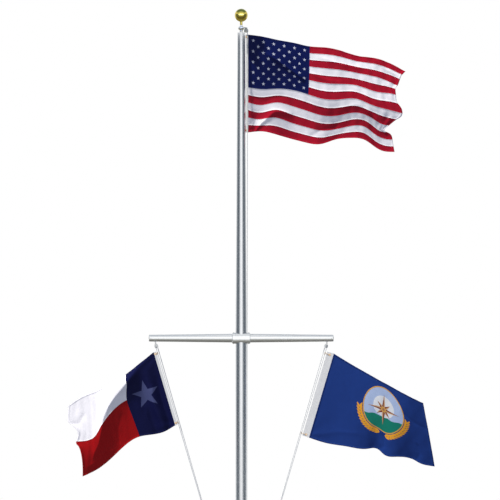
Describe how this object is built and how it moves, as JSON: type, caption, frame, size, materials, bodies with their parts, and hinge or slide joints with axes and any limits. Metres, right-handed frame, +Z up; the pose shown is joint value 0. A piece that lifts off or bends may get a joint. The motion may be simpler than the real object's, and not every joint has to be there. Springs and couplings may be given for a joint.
{
  "type": "nautical flagpole with yardarm and three flags",
  "caption": "Tapered aluminium mast with a cross yardarm, gold ball, truck, halyards on cleats and flags that hoist and lower on their halyards.",
  "frame": {"origin": "centre of the mast's butt face, at ground level", "axes": "+Z up along the mast, +X along the yardarm to the viewer's right, +Y away from the viewer"},
  "size_m": [4.0366, 0.5161, 7.8905],
  "materials": {
    "satin_aluminium": "satin brushed along the length",
    "cast_aluminium": "fine cast, semi-matt",
    "spun_aluminium": "spun, satin",
    "stainless_steel": "polished",
    "gold_anodised": "gold anodised, bright",
    "grey_nylon": "moulded nylon",
    "halyard_rope": "braided polyester",
    "heading_canvas": "woven canvas strip",
    "brass_fittings": "polished brass",
    "main_flag_nylon": "woven nylon, red, white and blue",
    "left_flag_nylon": "woven nylon, blue, white and red",
    "right_flag_nylon": "woven nylon, royal blue"
  },
  "bodies": {
    "mast": {"mast_shaft": "satin_aluminium", "mast_butt_plate": "satin_aluminium", "flash_collar": "spun_aluminium", "truck_body": "cast_aluminium", "truck_sheave_pin": "stainless_steel", "ball_finial": "gold_anodised", "yard_collar": "cast_aluminium", "yardarm_left": "satin_aluminium", "yardarm_right": "satin_aluminium", "yard_cap_left": "cast_aluminium", "yard_cap_right": "cast_aluminium", "yard_eye_left": "stainless_steel", "yard_eye_right": "stainless_steel", "yard_block_left": "stainless_steel", "yard_block_right": "stainless_steel", "yard_sheave_pin_left": "stainless_steel", "yard_sheave_pin_right": "stainless_steel", "main_cleat": "cast_aluminium", "left_cleat": "cast_aluminium", "right_cleat": "cast_aluminium", "main_halyard": "halyard_rope", "left_halyard": "halyard_rope", "right_halyard": "halyard_rope", "main_halyard_turns": "halyard_rope", "left_halyard_turns": "halyard_rope", "right_halyard_turns": "halyard_rope"},
    "truck_sheave": {"truck_sheave": "grey_nylon"},
    "left_sheave": {"yard_sheave_left": "grey_nylon"},
    "right_sheave": {"yard_sheave_right": "grey_nylon"},
    "main_flag": {"main_flag_cloth": "main_flag_nylon", "main_flag_heading": "heading_canvas", "main_flag_grommets": "brass_fittings", "main_flag_snap_top": "brass_fittings", "main_flag_snap_bottom": "brass_fittings"},
    "left_flag": {"left_flag_cloth": "left_flag_nylon", "left_flag_heading": "heading_canvas", "left_flag_grommets": "brass_fittings", "left_flag_snap_top": "brass_fittings", "left_flag_snap_bottom": "brass_fittings"},
    "right_flag": {"right_flag_cloth": "right_flag_nylon", "right_flag_heading": "heading_canvas", "right_flag_grommets": "brass_fittings", "right_flag_snap_top": "brass_fittings", "right_flag_snap_bottom": "brass_fittings"}
  },
  "joints": [
    {"name": "main_flag_hoist", "type": "slide", "parent": "mast", "child": "main_flag", "axis": [-0.0006, -0.0019, -1], "range_m": [0, 4.8]},
    {"name": "left_flag_hoist", "type": "slide", "parent": "mast", "child": "left_flag", "axis": [0.2833, 0.0003, -0.959], "range_m": [0, 1.85]},
    {"name": "right_flag_hoist", "type": "slide", "parent": "mast", "child": "right_flag", "axis": [-0.2833, 0.0003, -0.959], "range_m": [0, 1.7]},
    {"name": "truck_sheave_spin", "type": "hinge", "parent": "mast", "child": "truck_sheave", "pos_m": [0.05449, 0.07782, 7.652], "axis": [0.5736, 0.8192, 0], "continuous": true},
    {"name": "left_sheave_spin", "type": "hinge", "parent": "mast", "child": "left_sheave", "pos_m": [-0.94375, 0, 4.13748], "axis": [-0.8313, 0.5, -0.2428], "continuous": true},
    {"name": "right_sheave_spin", "type": "hinge", "parent": "mast", "child": "right_sheave", "pos_m": [0.94375, 0, 4.13748], "axis": [-0.8313, -0.5, 0.2428], "continuous": true}
  ],
  "couplings": [
    {"joint": "truck_sheave_spin", "follows": "main_flag_hoist", "rad_per_m": -53.191},
    {"joint": "left_sheave_spin", "follows": "left_flag_hoist", "rad_per_m": -53.191},
    {"joint": "right_sheave_spin", "follows": "right_flag_hoist", "rad_per_m": -53.191}
  ]
}
